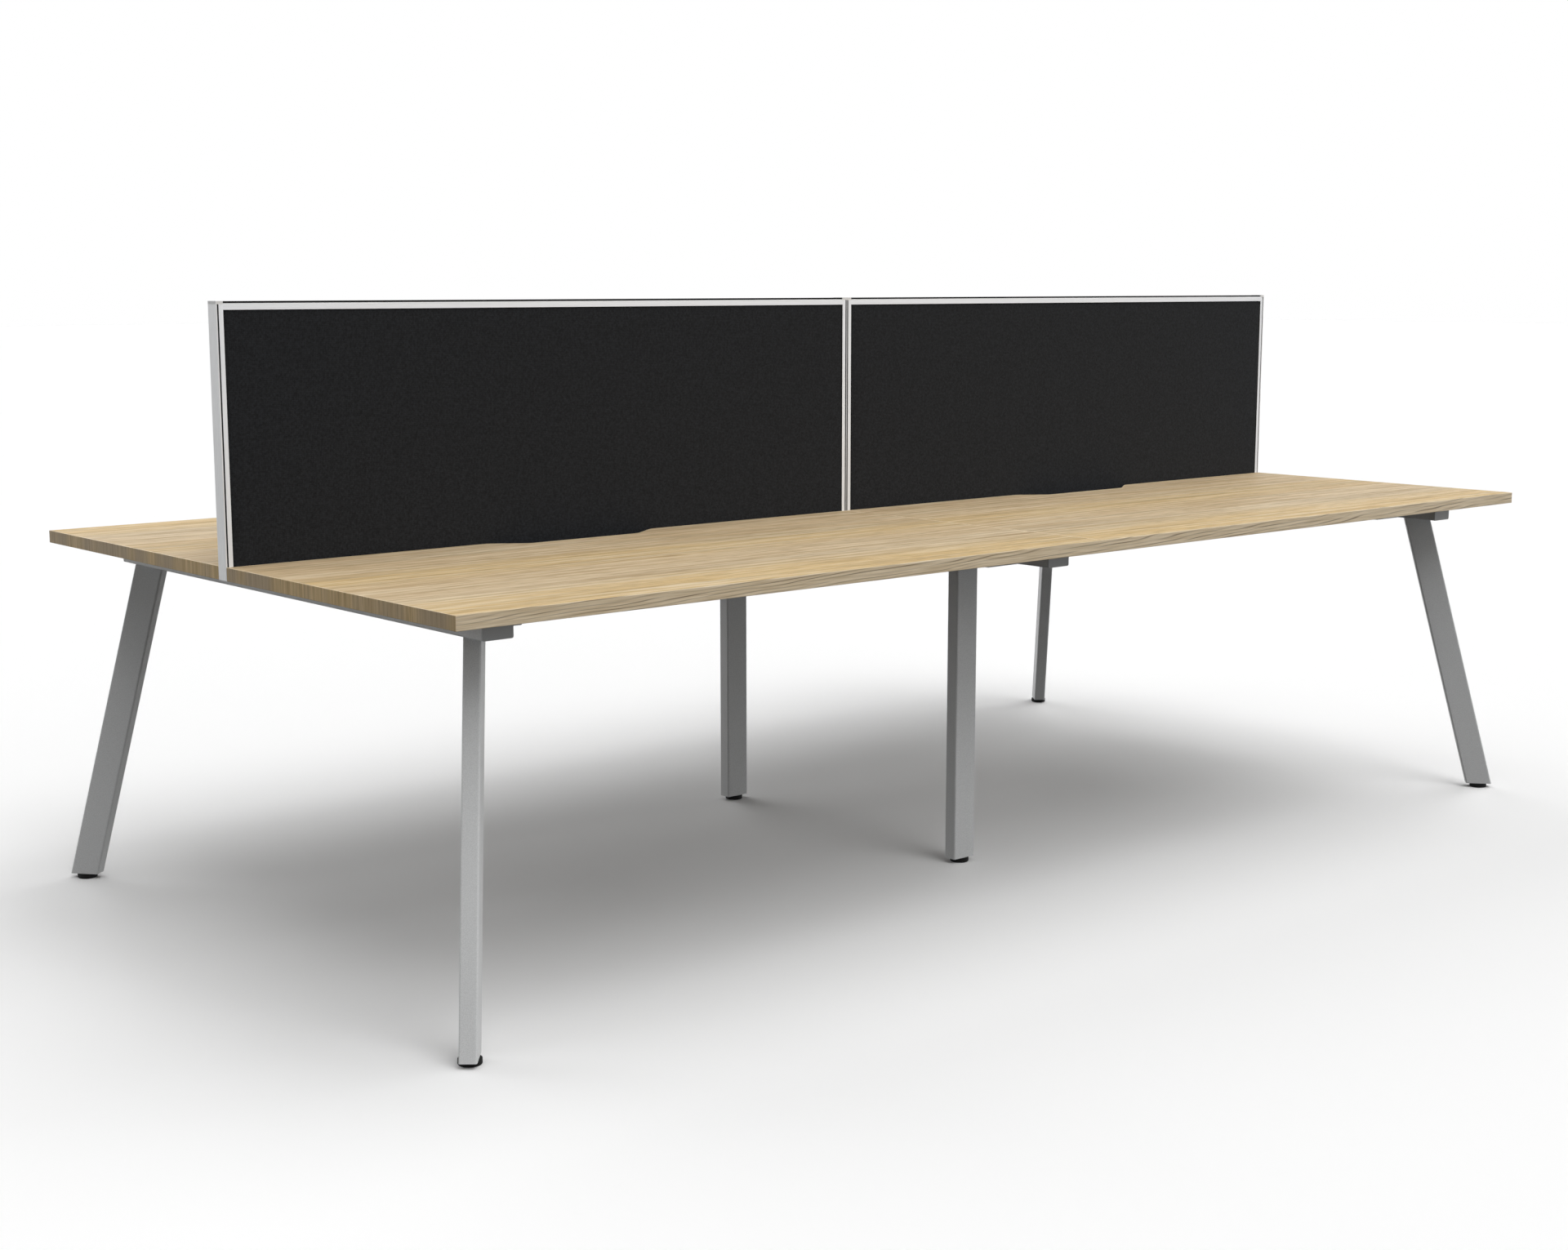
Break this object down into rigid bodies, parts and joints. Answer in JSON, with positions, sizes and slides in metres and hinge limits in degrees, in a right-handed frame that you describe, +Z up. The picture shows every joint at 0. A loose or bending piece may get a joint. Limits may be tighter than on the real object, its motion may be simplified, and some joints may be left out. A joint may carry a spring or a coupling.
{
  "type": "back-to-back desk pod",
  "caption": "Back-to-back bench desk with splayed tube legs, oak-look tops with cable scallops, and a low framed fabric screen along the middle.",
  "frame": {"origin": "on the floor, under the middle of the screen", "axes": "+X along the pod, to the right seen from the front, +Z up, so the front desks lie towards -Y"},
  "size_m": [3.0004, 1.532, 1.2],
  "materials": {
    "oak_board": "oak-look melamine, satin",
    "oak_edging": "printed ABS edging, satin",
    "silver_coat": "silver-grey powder coat, satin",
    "satin_aluminium": "satin anodised",
    "black_fabric": "flat woven felt-like cloth",
    "core_board": "raw fibreboard",
    "black_plastic": "moulded, matte",
    "grey_plastic": "moulded, satin",
    "pale_plastic": "moulded, satin",
    "zinc_steel": "zinc plated"
  },
  "bodies": {
    "pod": {"desktop_front_left": "oak_board", "edging_front_left": "oak_edging", "rail_front_left": "silver_coat", "fabric_front_left": "black_fabric", "desktop_front_right": "oak_board", "edging_front_right": "oak_edging", "rail_front_right": "silver_coat", "fabric_front_right": "black_fabric", "leg_front_left": "silver_coat", "leg_front_middle": "silver_coat", "leg_front_right": "silver_coat", "desktop_rear_left": "oak_board", "edging_rear_left": "oak_edging", "rail_rear_left": "silver_coat", "fabric_rear_left": "black_fabric", "desktop_rear_right": "oak_board", "edging_rear_right": "oak_edging", "rail_rear_right": "silver_coat", "fabric_rear_right": "black_fabric", "leg_rear_left": "silver_coat", "leg_rear_middle": "silver_coat", "leg_rear_right": "silver_coat", "screen_core_left": "core_board", "screen_top_rail_left": "satin_aluminium", "screen_bottom_rail_left": "satin_aluminium", "screen_inner_stile_left": "satin_aluminium", "screen_outer_stile_left": "satin_aluminium", "screen_core_right": "core_board", "screen_top_rail_right": "satin_aluminium", "screen_bottom_rail_right": "satin_aluminium", "screen_inner_stile_right": "satin_aluminium", "screen_outer_stile_right": "satin_aluminium", "beam_left": "silver_coat", "beam_middle": "silver_coat", "beam_right": "silver_coat", "beam_end_caps": "grey_plastic", "foot_plugs": "black_plastic", "rail_sleeves": "silver_coat", "screen_joiner": "satin_aluminium", "screen_end_covers": "satin_aluminium", "screen_top_strips": "black_plastic", "screen_top_caps": "pale_plastic", "joining_plates": "silver_coat", "top_screws": "zinc_steel", "plate_screws": "zinc_steel", "screen_bolts": "zinc_steel", "rail_screws": "zinc_steel", "corner_screws": "zinc_steel"},
    "foot_front_left": {"foot_pad_front_left": "black_plastic", "foot_stud_front_left": "zinc_steel"},
    "foot_front_middle": {"foot_pad_front_middle": "black_plastic", "foot_stud_front_middle": "zinc_steel"},
    "foot_front_right": {"foot_pad_front_right": "black_plastic", "foot_stud_front_right": "zinc_steel"},
    "foot_rear_left": {"foot_pad_rear_left": "black_plastic", "foot_stud_rear_left": "zinc_steel"},
    "foot_rear_middle": {"foot_pad_rear_middle": "black_plastic", "foot_stud_rear_middle": "zinc_steel"},
    "foot_rear_right": {"foot_pad_rear_right": "black_plastic", "foot_stud_rear_right": "zinc_steel"}
  },
  "joints": [
    {"name": "level_front_left", "type": "slide", "parent": "pod", "child": "foot_front_left", "axis": [0, 0, -1], "range_m": [0, 0.015]},
    {"name": "level_front_middle", "type": "slide", "parent": "pod", "child": "foot_front_middle", "axis": [0, 0, -1], "range_m": [0, 0.015]},
    {"name": "level_front_right", "type": "slide", "parent": "pod", "child": "foot_front_right", "axis": [0, 0, -1], "range_m": [0, 0.015]},
    {"name": "level_rear_left", "type": "slide", "parent": "pod", "child": "foot_rear_left", "axis": [0, 0, -1], "range_m": [0, 0.015]},
    {"name": "level_rear_middle", "type": "slide", "parent": "pod", "child": "foot_rear_middle", "axis": [0, 0, -1], "range_m": [0, 0.015]},
    {"name": "level_rear_right", "type": "slide", "parent": "pod", "child": "foot_rear_right", "axis": [0, 0, -1], "range_m": [0, 0.015]}
  ]
}
